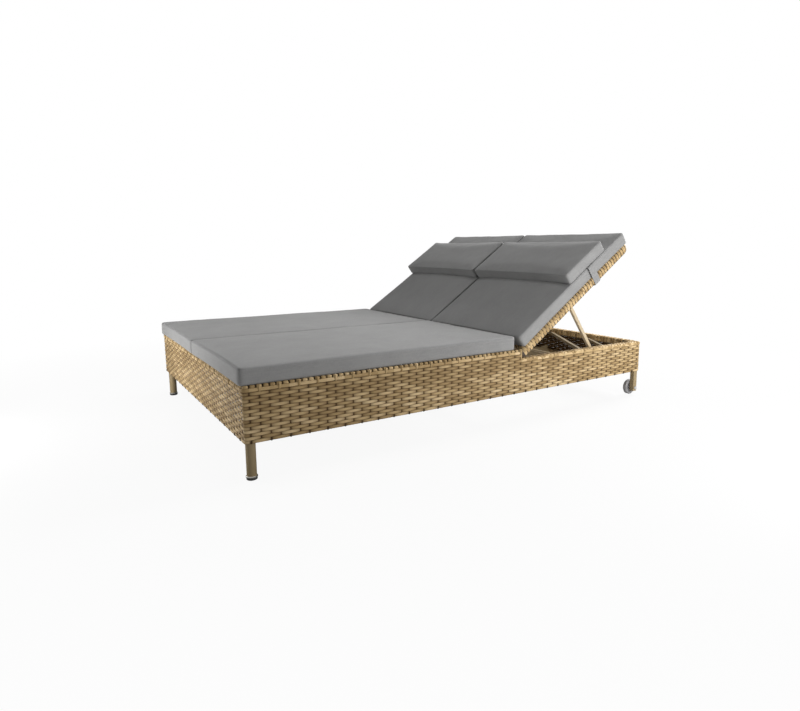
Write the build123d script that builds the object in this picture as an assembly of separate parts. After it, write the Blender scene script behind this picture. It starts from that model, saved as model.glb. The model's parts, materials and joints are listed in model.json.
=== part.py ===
from build123d import *
from math import asin, cos, degrees, radians, sin
import os

os.makedirs("parts", exist_ok=True)

# Double chaise lounger. X runs across it, Y runs from the foot end to the head end, Z is up.
# The origin is on the floor, under the middle of the whole lounger. Right is +X.

# Woven frame
frame_length = 2000.0
frame_width = 1400.0
seat_length = 1186.0
seat_top = 318.0
rim_top = 280.0
skirt_bottom = 128.0
skirt_corner = 5.0
weave_thickness = 6.0
rim_lip_thickness = 2.0
seat_deck_thickness = 5.0

# Frame tubes
tube_size = 25.0
tube_wall = 2.0
tube_corner = 2.5
seat_crossbar_count = 5
rack_rail_centre_x = 624.0
rack_rail_top = 247.0
hanger_thickness = 4.0
brace_size = 16.0
brace_wall = 1.5
brace_corner = 2.0
brace_head_places = (90.0, 365.0)
brace_turn = 31.0

# Legs and glides
leg_diameter = 33.0
leg_wall = 2.0
leg_inset = 24.0
pad_diameter = 36.0
pad_height = 8.0
pad_chamfer = 2.0
ring_diameter = 39.0
ring_height = 6.0
ring_chamfer = 1.5
rear_leg_lift = 22.0

# Wheels
wheel_radius = 38.0
wheel_width = 20.0
tyre_depth = 8.0
tyre_chamfer = 3.0
hub_rim_depth = 4.0
hub_web_thickness = 7.0
hub_boss_radius = 11.0
wheel_gap = 3.0
wheel_side_gap = 0.5
spacer_radius = 7.0
axle_radius = 5.0
axle_head_radius = 8.5
axle_head_height = 3.5

# Reclining backs
back_angle = 34.5
back_length = 824.0
hinge_height = 303.0
hinge_gap = 1.0
backs_gap = 6.0
back_side_inset = 3.0
rail_size = 38.0
rail_edge = 9.0
rail_bore_size = 21.0
rail_bore_start = 14.0
back_corner_radius = 36.0
bottom_rail_start = 24.0
back_deck_thickness = 6.0
back_deck_drop = 2.0
crossbar_size = 20.0
crossbar_wall = 1.5
crossbar_low_place = 230.0
crossbar_end_gap = 234.0
crossbar_drop = 2.0

# Hinges and pins
lug_thickness = 6.0
lug_radius = 10.0
lug_gap = 1.0
pin_radius = 5.0
pin_head_radius = 8.0
pin_head_height = 4.0
pin_depth = 17.0
running_clearance = 0.05

# Props and racks
prop_size = 16.0
prop_wall = 1.5
prop_corner = 2.0
prop_length = 384.0
prop_pivot_place = 367.0
prop_pivot_drop = 10.0
prop_end = 12.0
prop_gap = 1.0
prop_foot_radius = 6.0
prop_foot_overhang = 8.0
foot_height = 188.0
rack_thickness = 5.0
rack_bar_height = 25.0
rack_inner_centre_x = 78.5
rack_clearance = 0.7
rack_notch_depth = 5.0
rack_notch_angles = (14.0, 21.0, 28.0, 34.5, 40.5, 46.5)
rack_run_out = 14.0
rack_curve_steps = 12

# Seat and back cushions
cushion_split = 7.0
cushion_side_inset = 4.0
cushion_overhang = 10.0
cushion_rest_gap = 0.4
cushion_corner = 26.0
cushion_draw_in = 5.0
cushion_edge = 13.0
cushion_crown = 6.0
cushion_crown_inset = 95.0
seat_cushion_rear_gap = 30.0
seat_cushion_thickness = 66.0
back_cushion_thickness = 60.0
back_cushion_start = 12.0
back_cushion_end_gap = 8.0

# Head pillows
pillow_end_gap = 161.0
pillow_length = 273.0
pillow_thickness = 50.0
pillow_inner_x = 8.0
pillow_side_inset = 5.0
pillow_corner = 16.0
pillow_draw_in = 3.0
pillow_edge = 11.0
pillow_crown = 4.0
pillow_crown_inset = 60.0

# Pillow straps
strap_width = 35.0
strap_thickness = 1.4
strap_gap = 0.4
strap_pillow_place = 130.0
strap_lap = 60.0

# How far a cutting solid runs past the face it cuts
overrun = 2.0

# Heights of the rounded edge and of the crown, as shares, with how far each draws the outline in
edge_shares = ((0.0, 1.0), (0.29, 0.29), (1.0, 0.0))
crown_shares = ((0.65, 0.4), (1.0, 1.0))

# Places worked out from the sizes above
half_width = frame_width / 2
tube_half = tube_size / 2
wheel_overhang = max(wheel_radius - weave_thickness - tube_half, 0)
foot_y = -(frame_length - cushion_overhang + wheel_overhang) / 2
head_y = foot_y + frame_length
step_y = foot_y + seat_length
tube_x = half_width - weave_thickness - tube_half
tube_foot_y = foot_y + weave_thickness + tube_half
tube_head_y = head_y - weave_thickness - tube_half
tube_step_y = step_y - tube_half
seat_tube_z = seat_top - seat_deck_thickness - tube_half
rim_tube_z = rim_top - rim_lip_thickness - tube_half
base_tube_z = skirt_bottom + tube_half
inside_x = tube_x - tube_half
inside_head_y = tube_head_y - tube_half
leg_x = half_width - leg_inset
leg_y = foot_y + leg_inset
rail_half = rail_size / 2
hinge_y = step_y + hinge_gap + rail_half
rail_inner_x = backs_gap / 2 + rail_half
rail_outer_x = half_width - back_side_inset - rail_half
rail_inner_face = rail_inner_x + rail_half
rail_outer_face = rail_outer_x - rail_half
straight_rail_end = back_length - back_corner_radius - rail_half
pillow_place = back_length - pillow_end_gap - pillow_length
strap_place = pillow_place + strap_pillow_place
prop_inner_x = rail_inner_face + prop_gap + prop_size / 2
prop_outer_x = rail_outer_face - prop_gap - prop_size / 2


def save(name, *solids):
    shape = solids[0] if len(solids) == 1 else Compound(children=list(solids))
    export_step(shape, f"parts/{name}.step")


def mirrored(shape):
    return mirror(shape, about=Plane.YZ)


def save_both_sides(name, *solids):
    save(f"{name}_right", *solids)
    save(f"{name}_left", *[mirrored(solid) for solid in solids])


def block(x_range, y_range, z_range):
    ranges = (x_range, y_range, z_range)
    centre = [(low + high) / 2 for low, high in ranges]
    return Pos(*centre) * Box(*[high - low for low, high in ranges])


def rod_along_x(radius, start, end, y, z):
    return Pos((start + end) / 2, y, z) * Rot(0, 90, 0) * Cylinder(radius, abs(end - start))


def square_tube(size, wall, corner, length):
    section = RectangleRounded(size, size, corner) - Rectangle(size - 2 * wall, size - 2 * wall)
    return extrude(section, length)


def tube_along_x(start, end, y, z):
    return Pos(start, y, z) * Rot(0, 90, 0) * square_tube(tube_size, tube_wall, tube_corner, end - start)


def tube_along_y(x, start, end, z):
    return Pos(x, start, z) * Rot(-90, 0, 0) * square_tube(tube_size, tube_wall, tube_corner, end - start)


def tube_upright(x, y, start, end):
    return Pos(x, y, start) * square_tube(tube_size, tube_wall, tube_corner, end - start)


# Where a point of the back, and the foot of a prop, lie when the back is raised by an angle from flat

def back_point(place, offset, angle):
    turn = radians(angle)
    y = hinge_y + place * cos(turn) - offset * sin(turn)
    z = hinge_height + place * sin(turn) + offset * cos(turn)
    return y, z


def prop_slope_on_floor_line(angle):
    drop = back_point(prop_pivot_place, -prop_pivot_drop, angle)[1] - foot_height
    return -degrees(asin(drop / prop_length))


prop_slope_flat = prop_slope_on_floor_line(0)
prop_slope_rest = prop_slope_on_floor_line(back_angle)
prop_ratio = (prop_slope_rest - back_angle - prop_slope_flat) / back_angle


def prop_foot(angle):
    y, z = back_point(prop_pivot_place, -prop_pivot_drop, angle)
    turn = radians(prop_slope_flat + angle + prop_ratio * angle)
    return y + prop_length * cos(turn), z + prop_length * sin(turn)


# Welded frame under the weave

def build_frame_rails():
    leg_face_x = leg_x - leg_diameter / 2
    leg_face_y = leg_y + leg_diameter / 2
    save_both_sides("seat_rail", tube_along_y(tube_x, leg_face_y, step_y, seat_tube_z))
    save_both_sides("head_rail", tube_along_y(tube_x, step_y, inside_head_y, rim_tube_z))
    save_both_sides("base_rail", tube_along_y(tube_x, leg_face_y, inside_head_y, base_tube_z))
    save("seat_rail_foot", tube_along_x(-leg_face_x, leg_face_x, tube_foot_y, seat_tube_z))
    save("seat_rail_rear", tube_along_x(-inside_x, inside_x, tube_step_y, seat_tube_z))
    save("head_rail_end", tube_along_x(-inside_x, inside_x, tube_head_y, rim_tube_z))
    save(
        "base_cross_rails",
        tube_along_x(-leg_face_x, leg_face_x, tube_foot_y, base_tube_z),
        tube_along_x(-inside_x, inside_x, tube_step_y, base_tube_z),
        tube_along_x(-inside_x, inside_x, tube_head_y, base_tube_z),
    )


def build_seat_crossbars():
    spacing = (tube_step_y - tube_foot_y) / (seat_crossbar_count + 1)
    places = [tube_foot_y + spacing * (number + 1) for number in range(seat_crossbar_count)]
    save("seat_crossbars", *[tube_along_x(-inside_x, inside_x, y, seat_tube_z) for y in places])


def build_step_posts():
    low = base_tube_z + tube_half
    high = seat_tube_z - tube_half
    places = (-tube_x, -rack_rail_centre_x, 0, rack_rail_centre_x, tube_x)
    save("step_posts", *[tube_upright(x, tube_step_y, low, high) for x in places])


def rack_rail(x):
    plate_front = inside_head_y - hanger_thickness
    rail = tube_along_y(x, step_y, plate_front, rack_rail_top - tube_half)
    plate = block(
        (x - tube_half, x + tube_half),
        (plate_front, inside_head_y),
        (rack_rail_top - tube_size, rim_tube_z + tube_half),
    )
    return rail + plate


def build_rack_rails():
    places = (-rack_rail_centre_x, 0, rack_rail_centre_x)
    save("rack_rails", *[rack_rail(x) for x in places])


def corner_brace(head_x):
    centre_z = rack_rail_top + brace_size / 2
    run = (rack_rail_centre_x - head_x) / cos(radians(brace_turn))
    bar = square_tube(brace_size, brace_wall, brace_corner, run + 3 * brace_size)
    bar = Rot(0, 0, -brace_turn) * Rot(0, 90, 0) * Pos(0, 0, -brace_size) * bar
    bar = Pos(head_x, inside_head_y, centre_z) * bar
    behind = block(
        (head_x - 2 * brace_size, head_x + 2 * brace_size),
        (inside_head_y, inside_head_y + 2 * brace_size),
        (rack_rail_top - overrun, rack_rail_top + brace_size + overrun),
    )
    rail_side = rack_rail_centre_x + tube_half
    beyond = block(
        (rail_side, rail_side + 3 * brace_size),
        (step_y, inside_head_y),
        (rack_rail_top - overrun, rack_rail_top + brace_size + overrun),
    )
    return bar - behind - beyond


def build_corner_braces():
    braces = [corner_brace(head_x) for head_x in brace_head_places]
    save("corner_braces", *braces, *[mirrored(brace) for brace in braces])


def build_legs():
    low = pad_height + ring_height
    high = seat_tube_z + tube_half
    section = Circle(leg_diameter / 2) - Circle(leg_diameter / 2 - leg_wall)
    save_both_sides("front_leg", Pos(leg_x, leg_y, low) * extrude(section, high - low))
    rear = tube_upright(tube_x, tube_head_y, rear_leg_lift, rim_tube_z + tube_half)
    bore_radius = axle_radius + running_clearance
    bore = rod_along_x(bore_radius, inside_x - overrun, half_width, tube_head_y, wheel_radius)
    save_both_sides("rear_leg", rear - bore)


def build_glides():
    ring = Pos(leg_x, leg_y, pad_height + ring_height / 2) * Cylinder(ring_diameter / 2, ring_height)
    ring = chamfer(ring.edges().filter_by(GeomType.CIRCLE), ring_chamfer)
    pad = Pos(leg_x, leg_y, pad_height / 2) * Cylinder(pad_diameter / 2, pad_height)
    pad = chamfer(pad.edges().group_by(Axis.Z)[0], pad_chamfer)
    save("foot_glides", ring, mirrored(ring))
    save("foot_pads", pad, mirrored(pad))


# Wheels, each turning on an axle bolted through its rear leg

wheel_outer_x = inside_x - wheel_gap
wheel_inner_x = wheel_outer_x - wheel_width


def turned_about_axle(profile):
    turned = revolve(Plane.XY * profile, axis=Axis.X)
    return Pos(wheel_outer_x, tube_head_y, wheel_radius) * Rot(0, 180, 0) * turned


def wheel_tyre():
    middle = wheel_width / 2
    profile = Pos(middle, wheel_radius - tyre_depth / 2) * Rectangle(wheel_width, tyre_depth)
    profile = chamfer(profile.vertices().group_by(Axis.Y)[-1], tyre_chamfer)
    return turned_about_axle(profile)


def wheel_hub():
    outer = wheel_radius - tyre_depth
    middle = wheel_width / 2
    bore = axle_radius + running_clearance
    profile = Pos(middle, (outer + bore) / 2) * Rectangle(hub_web_thickness, outer - bore)
    profile += Pos(middle, (hub_boss_radius + bore) / 2) * Rectangle(wheel_width, hub_boss_radius - bore)
    profile += Pos(middle, outer - hub_rim_depth / 2) * Rectangle(wheel_width, hub_rim_depth)
    return turned_about_axle(profile)


def wheel_axle():
    leg_outer_x = tube_x + tube_half
    end_x = wheel_inner_x - wheel_side_gap
    axle = rod_along_x(axle_radius, end_x, leg_outer_x, tube_head_y, wheel_radius)
    spacer_start = wheel_outer_x + wheel_side_gap
    axle += rod_along_x(spacer_radius, spacer_start, inside_x, tube_head_y, wheel_radius)
    for x in (end_x, leg_outer_x + axle_head_height):
        axle += rod_along_x(axle_head_radius, x, x - axle_head_height, tube_head_y, wheel_radius)
    return axle


def build_wheels():
    save_both_sides("wheel", wheel_tyre(), wheel_hub())
    axle = wheel_axle()
    save("wheel_axles", axle, mirrored(axle))


# Woven panels

def build_skirts():
    inner_x = half_width - weave_thickness
    seat_heights = (skirt_bottom, seat_top)
    head_heights = (skirt_bottom, rim_top)
    lip_heights = (rim_top - rim_lip_thickness, rim_top)
    foot = block((-half_width, half_width), (foot_y, foot_y + weave_thickness), seat_heights)
    foot = fillet(foot.edges().filter_by(Axis.Z).group_by(Axis.Y)[0], skirt_corner)
    save("foot_skirt", foot)
    side = block((inner_x, half_width), (foot_y + weave_thickness, step_y), seat_heights)
    save_both_sides("seat_skirt", side)
    head_side = block((inner_x, half_width), (step_y, head_y - weave_thickness), head_heights)
    head_side += block((inside_x, inner_x), (step_y, head_y - weave_thickness), lip_heights)
    save_both_sides("head_skirt", head_side)
    head_end = block((-half_width, half_width), (head_y - weave_thickness, head_y), head_heights)
    head_end = fillet(head_end.edges().filter_by(Axis.Z).group_by(Axis.Y)[-1], skirt_corner)
    head_end += block((-inside_x, inside_x), (inside_head_y, head_y - weave_thickness), lip_heights)
    save("head_skirt_end", head_end)


def build_seat_deck():
    inner_x = half_width - weave_thickness
    deck_heights = (seat_top - seat_deck_thickness, seat_top)
    save("seat_deck", block((-inner_x, inner_x), (foot_y + weave_thickness, step_y), deck_heights))


# Hinge lugs on the seat frame, and the pins that the backs turn on

def hinge_lug(near_x, far_x):
    heights = (hinge_height - lug_radius, hinge_height + lug_radius)
    lug = block((near_x, far_x), (step_y, hinge_y), heights)
    lug += rod_along_x(lug_radius, near_x, far_x, hinge_y, hinge_height)
    bore_radius = pin_radius + running_clearance
    return lug - rod_along_x(bore_radius, near_x - overrun, far_x + overrun, hinge_y, hinge_height)


def headed_pin(head_face_x, direction, shank_length, y, z):
    shank = rod_along_x(pin_radius, head_face_x, head_face_x + direction * shank_length, y, z)
    head_end_x = head_face_x - direction * pin_head_height
    return shank + rod_along_x(pin_head_radius, head_end_x, head_face_x, y, z)


def build_hinges():
    outer_lug_x = rail_outer_face - lug_gap - lug_thickness
    inner_lug_x = rail_inner_face + lug_gap
    lugs = [hinge_lug(x, x + lug_thickness) for x in (inner_lug_x, outer_lug_x)]
    save("hinge_lugs", *lugs, *[mirrored(lug) for lug in lugs])
    shank = lug_thickness + lug_gap + pin_depth
    pins = [
        headed_pin(inner_lug_x + lug_thickness, -1, shank, hinge_y, hinge_height),
        headed_pin(outer_lug_x, 1, shank, hinge_y, hinge_height),
    ]
    save("hinge_pins", *pins, *[mirrored(pin) for pin in pins])


# One reclining back, drawn flat with its hinge on the X axis, then raised

def raised(shape):
    return Pos(0, hinge_y, hinge_height) * Rot(back_angle, 0, 0) * shape


def pin_bore(x, place, drop):
    return rod_along_x(pin_radius + running_clearance, x - pin_depth, x + pin_depth, place, -drop)


def rail_section():
    return RectangleRounded(rail_size, rail_size, rail_edge) - Rectangle(rail_bore_size, rail_bore_size)


def back_side_rail(x, face_x):
    core = extrude(RectangleRounded(rail_size, rail_size, rail_edge), straight_rail_end)
    core = Pos(x, 0, 0) * Rot(-90, 0, 0) * core
    end = fillet(Cylinder(rail_half, rail_size).edges().filter_by(GeomType.CIRCLE), rail_edge)
    core += Pos(x, 0, 0) * Rot(0, 90, 0) * end
    bore_length = straight_rail_end - rail_bore_start + overrun
    bore = extrude(Rectangle(rail_bore_size, rail_bore_size), bore_length)
    core -= Pos(x, rail_bore_start, 0) * Rot(-90, 0, 0) * bore
    return core - pin_bore(face_x, 0, 0) - pin_bore(face_x, prop_pivot_place, prop_pivot_drop)


def back_top_rail():
    top = back_length - rail_half
    start = (rail_inner_x, straight_rail_end)
    first = JernArc(start, (0, 1), back_corner_radius, -90)
    last = JernArc((rail_outer_x - back_corner_radius, top), (1, 0), back_corner_radius, -90)
    path = first + Line(first @ 1, last @ 0) + last
    section = Plane(origin=(*start, 0), x_dir=(1, 0, 0), z_dir=(0, 1, 0)) * rail_section()
    return sweep(section, path=path)


def back_bottom_rail():
    tube = extrude(rail_section(), rail_outer_face - rail_inner_face)
    return Pos(rail_inner_face, bottom_rail_start + rail_half, 0) * Rot(0, 90, 0) * tube


def back_crossbar(place):
    tube = square_tube(crossbar_size, crossbar_wall, brace_corner, rail_outer_face - rail_inner_face)
    return Pos(rail_inner_face, place, -crossbar_drop) * Rot(0, 90, 0) * tube


def back_deck():
    start = bottom_rail_start + rail_size
    end = back_length - rail_size
    width = rail_outer_face - rail_inner_face
    sheet = Rectangle(width, end - start)
    sheet = fillet(sheet.vertices().group_by(Axis.Y)[-1], back_corner_radius - rail_half)
    top = rail_half - back_deck_drop
    middle = (rail_inner_face + rail_outer_face) / 2
    return Pos(middle, (start + end) / 2, top - back_deck_thickness) * extrude(sheet, back_deck_thickness)


def build_backs():
    save_both_sides("back_rail_outer", raised(back_side_rail(rail_outer_x, rail_outer_face)))
    save_both_sides("back_rail_inner", raised(back_side_rail(rail_inner_x, rail_inner_face)))
    save_both_sides("back_rail_top", raised(back_top_rail()))
    save_both_sides("back_rail_bottom", raised(back_bottom_rail()))
    places = (crossbar_low_place, back_length - crossbar_end_gap)
    save_both_sides("back_crossbars", *[raised(back_crossbar(place)) for place in places])
    save_both_sides("back_deck", raised(back_deck()))


# Props that hold the backs up, and the notched racks that their feet stand on

def prop_leg(x):
    length = prop_length + 2 * prop_end
    leg = Pos(x, -prop_end, 0) * Rot(-90, 0, 0) * square_tube(prop_size, prop_wall, prop_corner, length)
    sides = (x - prop_size, x + prop_size)
    leg -= rod_along_x(pin_radius + running_clearance, *sides, 0, 0)
    return leg - rod_along_x(prop_foot_radius + running_clearance, *sides, prop_length, 0)


def build_props():
    pivot_y, pivot_z = back_point(prop_pivot_place, -prop_pivot_drop, back_angle)
    at_pivot = Pos(0, pivot_y, pivot_z) * Rot(prop_slope_rest, 0, 0)
    save_both_sides("prop_legs", *[at_pivot * prop_leg(x) for x in (prop_inner_x, prop_outer_x)])
    start = prop_inner_x - prop_size / 2 - prop_foot_overhang
    end = prop_outer_x + prop_size / 2 + prop_foot_overhang
    foot = rod_along_x(prop_foot_radius, start, end, prop_length, 0)
    foot -= rod_along_x(prop_foot_radius - prop_wall, start - overrun, end + overrun, prop_length, 0)
    save_both_sides("prop_foot", at_pivot * foot)
    shank = prop_size + prop_gap + pin_depth
    save_both_sides(
        "prop_pins",
        headed_pin(prop_inner_x + prop_size / 2, -1, shank, pivot_y, pivot_z),
        headed_pin(prop_outer_x - prop_size / 2, 1, shank, pivot_y, pivot_z),
    )


def rack_top_points():
    high = rack_notch_angles[-1]
    feet = [prop_foot(high * step / rack_curve_steps) for step in range(rack_curve_steps + 1)]
    below = prop_foot_radius + rack_clearance
    tops = [(y, z - below) for y, z in feet]
    first = (tops[0][0] + rack_run_out, tops[0][1])
    last = (tops[-1][0] - rack_run_out, tops[-1][1])
    return [first, *tops, last]


def rack_bar(x):
    low = skirt_bottom
    high = skirt_bottom + rack_bar_height
    tops = rack_top_points()
    outline = [(step_y, low), (inside_head_y, low), (inside_head_y, high), (tops[0][0], high), *tops]
    outline += [(tops[-1][0], high), (step_y, high)]
    face = make_face(Polyline(*outline, close=True))
    for angle in rack_notch_angles:
        y, z = prop_foot(angle)
        face -= Pos(y, z - rack_notch_depth) * Circle(prop_foot_radius + rack_clearance)
    return Pos(x - rack_thickness / 2, 0, 0) * extrude(Plane.YZ * face, rack_thickness)


def build_racks():
    racks = [rack_bar(x) for x in (rack_inner_centre_x, rack_rail_centre_x)]
    save_both_sides("rack_bars", *racks)


# Cushions: crowned pads with rounded edges, whose sides draw in between the corners

def drawn_in_outline(width, length, corner, draw_in, height):
    x, y = width / 2, length / 2
    bend = corner * (1 - cos(radians(45)))
    with BuildSketch(Plane.XY.offset(height)) as outline:
        with BuildLine():
            ThreePointArc((-x + corner, -y), (0, -y + draw_in), (x - corner, -y))
            ThreePointArc((x - corner, -y), (x - bend, -y + bend), (x, -y + corner))
            ThreePointArc((x, -y + corner), (x - draw_in, 0), (x, y - corner))
            ThreePointArc((x, y - corner), (x - bend, y - bend), (x - corner, y))
            ThreePointArc((x - corner, y), (0, y - draw_in), (-x + corner, y))
            ThreePointArc((-x + corner, y), (-x + bend, y - bend), (-x, y - corner))
            ThreePointArc((-x, y - corner), (-x + draw_in, 0), (-x, -y + corner))
            ThreePointArc((-x, -y + corner), (-x + bend, -y + bend), (-x + corner, -y))
        make_face()
    return outline.sketch


def soft_pad(x_range, y_range, thickness, corner, draw_in, edge, crown, crown_inset):
    width = x_range[1] - x_range[0]
    length = y_range[1] - y_range[0]
    shoulder = thickness - crown
    rows = [(edge * rise, edge * inset) for rise, inset in edge_shares]
    rows += [(shoulder - edge * rise, edge * inset) for rise, inset in reversed(edge_shares)]
    rows += [(shoulder + crown * rise, edge + (crown_inset - edge) * inset) for rise, inset in crown_shares]
    outlines = [
        drawn_in_outline(width - 2 * inset, length - 2 * inset, corner, draw_in, height)
        for height, inset in rows
    ]
    pad = loft(outlines, ruled=True)
    return Pos((x_range[0] + x_range[1]) / 2, (y_range[0] + y_range[1]) / 2, 0) * pad


def build_cushions():
    sides = (cushion_split / 2, half_width - cushion_side_inset)
    shape = (cushion_corner, cushion_draw_in, cushion_edge, cushion_crown, cushion_crown_inset)
    seat_start = foot_y - cushion_overhang
    seat_ends = (seat_start, step_y - seat_cushion_rear_gap)
    seat = soft_pad(sides, seat_ends, seat_cushion_thickness, *shape)
    save_both_sides("seat_cushion", Pos(0, 0, seat_top + cushion_rest_gap) * seat)
    ends = (back_cushion_start, back_length - back_cushion_end_gap)
    back = soft_pad(sides, ends, back_cushion_thickness, *shape)
    save_both_sides("back_cushion", raised(Pos(0, 0, rail_half + cushion_rest_gap) * back))


def build_pillows():
    cushion_front = rail_half + cushion_rest_gap + back_cushion_thickness
    lap_low = cushion_front + strap_gap
    lap_high = lap_low + strap_thickness
    sides = (pillow_inner_x, half_width - pillow_side_inset)
    ends = (pillow_place, pillow_place + pillow_length)
    shape = (pillow_corner, pillow_draw_in, pillow_edge, pillow_crown, pillow_crown_inset)
    pillow = soft_pad(sides, ends, pillow_thickness, *shape)
    save_both_sides("pillow", raised(Pos(0, 0, lap_high + strap_gap) * pillow))
    inner_x = backs_gap / 2 - strap_gap
    outer_x = half_width - back_side_inset + strap_gap
    places = (strap_place, strap_place + strap_width)
    strap = block(
        (inner_x - strap_thickness, outer_x + strap_thickness),
        places,
        (-rail_half - strap_gap - strap_thickness, lap_high),
    )
    through = (places[0] - overrun, places[1] + overrun)
    strap -= block((inner_x, outer_x), through, (-rail_half - strap_gap, lap_low))
    between_laps = (inner_x + strap_lap, outer_x - strap_lap)
    strap -= block(between_laps, through, (lap_low - overrun, lap_high + overrun))
    save_both_sides("pillow_strap", raised(strap))


build_frame_rails()
build_seat_crossbars()
build_step_posts()
build_rack_rails()
build_corner_braces()
build_legs()
build_glides()
build_wheels()
build_skirts()
build_seat_deck()
build_hinges()
build_backs()
build_props()
build_racks()
build_cushions()
build_pillows()

pivot = back_point(prop_pivot_place, -prop_pivot_drop, back_angle)
print("hinge", round(hinge_y, 3), round(hinge_height, 3))
print("prop pivot", [round(value, 3) for value in pivot], "turns", round(prop_ratio, 5))
print("prop foot", [round(value, 2) for value in prop_foot(back_angle)])
print("wheel axle", round(tube_head_y, 2), round(wheel_radius, 2))
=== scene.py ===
import json
from math import cos, floor, pi, radians, sin, sqrt

import bmesh
import bpy
from mathutils import Matrix, Vector, noise


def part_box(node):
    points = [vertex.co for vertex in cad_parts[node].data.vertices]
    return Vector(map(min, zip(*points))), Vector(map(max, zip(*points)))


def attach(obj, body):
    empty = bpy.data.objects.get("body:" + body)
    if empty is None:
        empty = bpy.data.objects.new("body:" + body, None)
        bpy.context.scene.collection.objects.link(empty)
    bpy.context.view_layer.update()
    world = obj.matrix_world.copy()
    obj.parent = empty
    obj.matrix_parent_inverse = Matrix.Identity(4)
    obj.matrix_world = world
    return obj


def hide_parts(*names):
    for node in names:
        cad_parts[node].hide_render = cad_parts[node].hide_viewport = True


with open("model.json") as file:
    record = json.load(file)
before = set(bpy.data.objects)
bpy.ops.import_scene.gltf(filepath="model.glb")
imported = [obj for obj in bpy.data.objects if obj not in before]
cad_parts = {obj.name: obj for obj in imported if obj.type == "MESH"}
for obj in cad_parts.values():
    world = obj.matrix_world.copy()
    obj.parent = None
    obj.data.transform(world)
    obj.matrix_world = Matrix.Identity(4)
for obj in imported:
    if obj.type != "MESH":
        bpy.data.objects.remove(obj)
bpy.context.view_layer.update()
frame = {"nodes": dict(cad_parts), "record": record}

joints = {joint["name"]: joint for joint in frame["record"]["behaviour"]["joints"]}

# Places of the frame, in metres
foot_low, foot_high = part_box("foot_skirt")
side_low, side_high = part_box("seat_skirt_right")
end_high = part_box("head_skirt_end")[1]
tube_low, tube_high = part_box("head_rail_right")
half_width = foot_high.x
foot_y = foot_low.y
head_y = end_high.y
step_y = side_high.y
skirt_bottom = side_low.z
seat_top = side_high.z
rim_top = end_high.z
panel_depth = side_high.x - side_low.x
rim_tube = tube_high.x - tube_low.x
hinge = Vector(joints["recline_right"]["pos_m"])
back_angle = -radians(joints["recline_right"]["range_deg"][0])
raise_back = Matrix.Translation(hinge) @ Matrix.Rotation(back_angle, 4, "X")

# Weave
stake_pitch_wish = 0.033
row_pitch = 0.0113
weave_shift = 0.0119
float_width = 0.0116
strand_thickness = 0.0044
stake_width = 0.0078
stake_thickness = 0.0020
stake_wave = 0.0002
corner_radius = 0.008
seat_rows = 15
rim_rows = 12
# Painted shade in the weave's recesses: strand surfaces that lie further in than this are darkened in colour
painted_shade_start = 0.0042
painted_shade_depth = 0.0042
# Constant painted shade on the stakes and on the turned stake ends under the skirt
stake_painted_shade = 0.85
# Constant painted shade on the seat rim's knobs and long wraps
rim_painted_shade = 0.15

# Edging and wraps
wraps_per_period = 3
knob_width = 0.0172
knob_thickness = 0.0028
knob_drop = 0.0076
knob_out = 0.0030
long_wrap_width = 0.0072
long_wrap_drop = 0.0205
long_wrap_out = 0.0052
rim_reach_in = 0.012
rim_lift = 0.0008
edging_width = 0.0126
edging_thickness = 0.0044
seat_edging_drop = 0.0130
rim_edging_drop = 0.0088
rim_wrap_width = 0.0208
rim_wrap_pitch = 0.022
rim_wrap_thickness = 0.0030
foot_knot_width = 0.006
foot_knot_thickness = 0.0022
end_strand_width = 0.0080
end_strand_thickness = 0.0028

# Rails of the backs
band_pitch = 0.0196
band_width = 0.0198
band_thickness = 0.0026
band_sink = 0.0006
band_corner = 0.009
band_past_end = 0.004
loop_out = 0.0010
loop_width = 0.0158
loop_thickness = 0.0036

# Cushions
cushion_cell = 0.013
cushion_cap = 0.005
cushion_crown = 0.004
cushion_slack = 0.001
wrinkle_height = 0.0016
seam_place = 0.0050
seam_width = 0.0030
seam_shade = 0.18
cover_frames = 20
cover_settings = (
    ("quality", 5), ("mass", 0.3), ("tension_stiffness", 12), ("compression_stiffness", 12),
    ("bending_stiffness", 0.8), ("use_pressure", True), ("uniform_pressure_force", 4),
)

# Straps of the pillows
strap_thickness = 0.0014
strap_lap = 0.06
strap_bend = 0.006
strap_widening = 1.15


# Materials

# Colour multiplied in as painted shade, in the hollows behind the stakes and on the strands' inner side
painted_hollow_shade_colour = (0.11, 0.078, 0.052)
slub_levels = (0.5, 0.86, 1.0, 1.2)


def node_group(name, inputs, outputs):
    group = bpy.data.node_groups.new(name, "ShaderNodeTree")
    for title, kind, value in inputs:
        socket = group.interface.new_socket(title, in_out="INPUT", socket_type=kind)
        if value is not None:
            socket.default_value = value
    for title, kind in outputs:
        group.interface.new_socket(title, in_out="OUTPUT", socket_type=kind)
    return group, group.nodes.new("NodeGroupInput"), group.nodes.new("NodeGroupOutput")


def add_node(tree, kind, settings=(), values=()):
    node = tree.nodes.new(kind)
    for key, value in dict(settings).items():
        setattr(node, key, value)
    for key, value in dict(values).items():
        node.inputs[key].default_value = value
    return node


def join(tree, source, output, target, socket):
    """Links an output of one node to an input of another."""
    tree.links.new(source.outputs[output], target.inputs[socket])


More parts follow.
